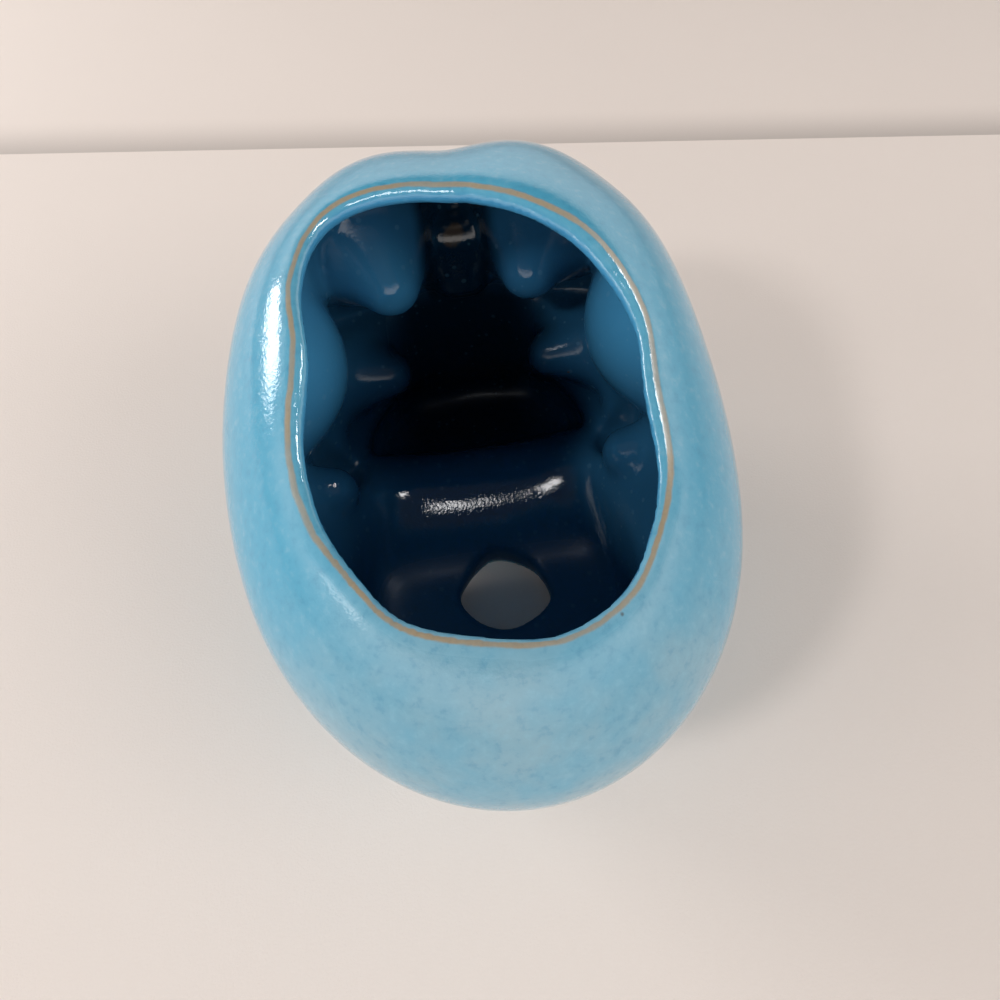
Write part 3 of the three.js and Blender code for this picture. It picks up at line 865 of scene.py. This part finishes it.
def pad_tree():
    """Geometry nodes that set a rounded pad on each given point."""
    tree = bpy.data.node_groups.new("Stick-on pads", "GeometryNodeTree")
    for name, kind in (("Places", "NodeSocketGeometry"), ("Radius", "NodeSocketFloat"), ("Height", "NodeSocketFloat"),
                       ("Edge", "NodeSocketFloat"), ("Sides", "NodeSocketInt"), ("Rubber", "NodeSocketMaterial")):
        tree.interface.new_socket(name, in_out="INPUT", socket_type=kind)
    tree.interface.new_socket("Pads", in_out="OUTPUT", socket_type="NodeSocketGeometry")
    given = tree.nodes.new("NodeGroupInput").outputs
    output = tree.nodes.new("NodeGroupOutput")
    disc = add(tree, "GeometryNodeMeshCylinder", {
        "Vertices": given["Sides"], "Side Segments": 16, "Fill Segments": 3,
        "Radius": given["Radius"], "Depth": given["Height"]})
    parts = add(tree, "ShaderNodeSeparateXYZ", {0: add(tree, "GeometryNodeInputPosition").outputs[0]})
    level = math_node(tree, "ADD", parts.outputs["Z"], product(tree, given["Height"], 0.5))
    below = largest(tree, math_node(tree, "SUBTRACT", given["Edge"], level), 0.0)
    edge2 = product(tree, given["Edge"], given["Edge"])
    rest2 = largest(tree, math_node(tree, "SUBTRACT", edge2, product(tree, below, below)), 0.0)
    drawn_in = math_node(tree, "SUBTRACT", given["Edge"], math_node(tree, "SQRT", rest2))
    shrink = math_node(tree, "SUBTRACT", 1.0, math_node(tree, "DIVIDE", drawn_in, given["Radius"]))
    place = add(tree, "ShaderNodeCombineXYZ", {
        "X": product(tree, parts.outputs["X"], shrink), "Y": product(tree, parts.outputs["Y"], shrink), "Z": level})
    pad = add(tree, "GeometryNodeSetPosition", {"Geometry": disc.outputs["Mesh"], "Position": place.outputs[0]})
    points = add(tree, "GeometryNodeMeshToPoints", {"Mesh": given["Places"]})
    pads = add(tree, "GeometryNodeInstanceOnPoints", {"Points": points.outputs[0], "Instance": pad.outputs[0]})
    solid = add(tree, "GeometryNodeRealizeInstances", {"Geometry": pads.outputs[0]})
    finished = add(tree, "GeometryNodeSetMaterial", {"Geometry": solid.outputs[0], "Material": given["Rubber"]})
    tree.links.new(finished.outputs[0], output.inputs["Pads"])
    return tree


class PLANTER_OT_pads(bpy.types.Operator):
    """Makes the stick-on pads under the foot"""
    bl_idname = "planter.pads"
    bl_label = "Stick-on pads"

    def execute(self, context):
        scene = context.scene
        sizes = scene.planter_pads
        places = []
        for name in PAD_NODES:
            low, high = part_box(name)
            places.append(((low.x + high.x) / 2, (low.y + high.y) / 2, low.z))
        mesh = bpy.data.meshes.new("Pad places")
        mesh.from_pydata(places, [], [])
        holder = bpy.data.objects.new("Pad places", mesh)
        scene.collection.objects.link(holder)
        tree = pad_tree()
        modifier = holder.modifiers.new("Stick-on pads", "NODES")
        modifier.node_group = tree
        rubber = pad_material(scene.planter_finish, shared_group(grain_group, "Fine grain"))
        values = {"Radius": sizes.radius, "Height": sizes.height, "Edge": sizes.edge,
                  "Sides": sizes.sides, "Rubber": rubber}
        for socket in tree.interface.items_tree:
            if socket.in_out == "INPUT" and socket.name in values:
                modifier[socket.identifier] = values[socket.name]
        context.view_layer.update()
        finished = bpy.data.meshes.new_from_object(holder.evaluated_get(context.evaluated_depsgraph_get()))
        bpy.data.objects.remove(holder)
        if not len(finished.polygons):
            raise RuntimeError("the pads came out empty")
        finished.name = "Stick-on pads"
        link_piece("stick_on_pads", finished, PAD_NODES)
        return {"FINISHED"}


# Stage: the cloth ends at a straight edge behind the skull, with a lower cloth beyond it
CLOTH_EDGE = ((-0.2225, -0.2083), (0.1359, -0.2611))
CLOTH_REACH = 2.5
LOWER_CLOTH = -0.012
CLOTH_CLOUDS = (6.0, 3.0)
CLOTH_GRAIN = (1400.0, 2.0)
CLOTH_CLOUDED = 0.97
CLOTH_SHADED = 0.62
CLOTH_SHADE_REACH = (10, 50)
CAMERA_PLACE = (0.01293, 0.11141, 0.21996)
CAMERA_TARGET = (-0.00306, 0.00716, 0.060)
CAMERA_ROLL = math.radians(-0.94)
CAMERA_LENS = 28.08
CAMERA_SENSOR = 36.0
CAMERA_NEAREST = 0.01

# Room: heights on the sky between which its walls brighten and its top darkens
WALLS_BRIGHTEN = (0.0, 0.3)
TOP_DARKENS = (0.4, 0.68)
ROOM_TINT = (1.0, 0.97, 0.94)

# Lamps by place, width, height and radiance in watts per square metre and steradian;
# the key and fill only light the pot, and the two lamps over it only show in its gloss
LAMPS = {
    "window": ((0.95, -0.62, 0.36), 0.50, 0.30, 11),
    "key_lamp": ((0.72, 0.42, 0.86), 0.14, 0.14, 55),
    "right_lamp": ((-0.60, 0.0, 1.09), 0.50, 0.24, 20),
    "rear_lamp": ((0.10, 0.42, 1.18), 0.30, 0.16, 14),
    "left_wall": ((1.00, 0.22, 0.62), 0.40, 0.30, 3.2),
    "right_fill": ((-1.00, 0.70, 0.85), 1.00, 0.80, 2.6),
}
DULL_LAMPS = {"key_lamp", "right_fill"}
GLOSS_LAMPS = {"right_lamp", "rear_lamp"}


class PLANTER_OT_stage(bpy.types.Operator):
    """Makes the cloth, the lights and the camera"""
    bl_idname = "planter.stage"
    bl_label = "Stage"

    def execute(self, context):
        scene = context.scene
        stage = scene.planter_stage
        cloth = cloth_material(stage, shared_group(grain_group, "Fine grain"))
        lean, level = cloth_edge()
        edge = [(x, level + x * lean) for x in (-CLOTH_REACH, CLOTH_REACH)]
        table = bpy.data.meshes.new("Cloth")
        table.from_pydata(
            [(*edge[0], 0), (*edge[1], 0), (CLOTH_REACH, CLOTH_REACH, 0), (-CLOTH_REACH, CLOTH_REACH, 0),
             (*edge[0], LOWER_CLOTH), (*edge[1], LOWER_CLOTH),
             (CLOTH_REACH, -CLOTH_REACH, LOWER_CLOTH), (-CLOTH_REACH, -CLOTH_REACH, LOWER_CLOTH)],
            [], [(0, 1, 2, 3), (4, 5, 1, 0), (7, 6, 5, 4)])
        table.materials.append(cloth)
        floor = bpy.data.objects.new("cloth", table)
        scene.collection.objects.link(floor)

        for name, (place, width, height, radiance) in LAMPS.items():
            light = bpy.data.lights.new(name, "AREA")
            light.shape = "RECTANGLE"
            light.size, light.size_y = width, height
            light.energy = math.pi * width * height * radiance * stage.lamps
            lamp = bpy.data.objects.new(name, light)
            lamp.location = place
            lamp.visible_glossy = name not in DULL_LAMPS
            lamp.visible_diffuse = name not in GLOSS_LAMPS
            lamp.rotation_euler = (Vector(CAMERA_TARGET) - lamp.location).to_track_quat("-Z", "Y").to_euler()
            scene.collection.objects.link(lamp)

        room = bpy.data.worlds.new("Room")
        room.use_nodes = True
        tree = room.node_tree
        direction = add(tree, "ShaderNodeTexCoord").outputs["Generated"]
        upwards = add(tree, "ShaderNodeSeparateXYZ", {0: direction}).outputs["Z"]
        walls = ramp(tree, upwards, *WALLS_BRIGHTEN, stage.horizon, stage.room)
        strength = mix_value(tree, ramp(tree, upwards, *TOP_DARKENS), walls, stage.overhead)
        background = tree.nodes["Background"]
        background.inputs["Color"].default_value = opaque(ROOM_TINT)
        tree.links.new(strength, background.inputs["Strength"])
        scene.world = room
        scene.view_settings.view_transform = "Standard"

        camera = bpy.data.objects.new("Camera", bpy.data.cameras.new("Camera"))
        camera.data.lens = CAMERA_LENS
        camera.data.sensor_width = CAMERA_SENSOR
        camera.data.clip_start = CAMERA_NEAREST
        camera.location = CAMERA_PLACE
        aim = (Vector(CAMERA_TARGET) - camera.location).to_track_quat("-Z", "Y")
        camera.rotation_euler = (aim @ Quaternion((0, 0, 1), CAMERA_ROLL)).to_euler()
        scene.collection.objects.link(camera)
        scene.camera = camera
        return {"FINISHED"}


class PLANTER_PT_panel(bpy.types.Panel):
    """Lists the planter's pieces and sizes"""
    bl_idname = "PLANTER_PT_panel"
    bl_label = "Skull Planter"
    bl_space_type = "VIEW_3D"
    bl_region_type = "UI"
    bl_category = "Planter"

    def draw(self, context):
        layout = self.layout
        for operator in OPERATORS:
            layout.operator(operator.bl_idname)
        for name, group in GROUPS.items():
            box = layout.box()
            box.label(text=group.__doc__)
            for prop in group.__annotations__:
                box.prop(getattr(context.scene, name), prop)


OPERATORS = (PLANTER_OT_skull, PLANTER_OT_pads, PLANTER_OT_stage)
GROUPS = {
    "planter_clay": PlanterClay,
    "planter_pads": PlanterPads,
    "planter_finish": PlanterFinish,
    "planter_stage": PlanterStage,
}


def register():
    for group in GROUPS.values():
        bpy.utils.register_class(group)
    for name, group in GROUPS.items():
        setattr(bpy.types.Scene, name, bpy.props.PointerProperty(type=group))
    for operator in OPERATORS:
        bpy.utils.register_class(operator)
    bpy.utils.register_class(PLANTER_PT_panel)


def unregister():
    bpy.utils.unregister_class(PLANTER_PT_panel)
    for operator in reversed(OPERATORS):
        bpy.utils.unregister_class(operator)
    for name, group in GROUPS.items():
        delattr(bpy.types.Scene, name)
        bpy.utils.unregister_class(group)


def main():
    register()
    bpy.ops.planter.stage()
    bpy.ops.planter.skull()
    bpy.ops.planter.pads()


if __name__ == "__main__":
    main()
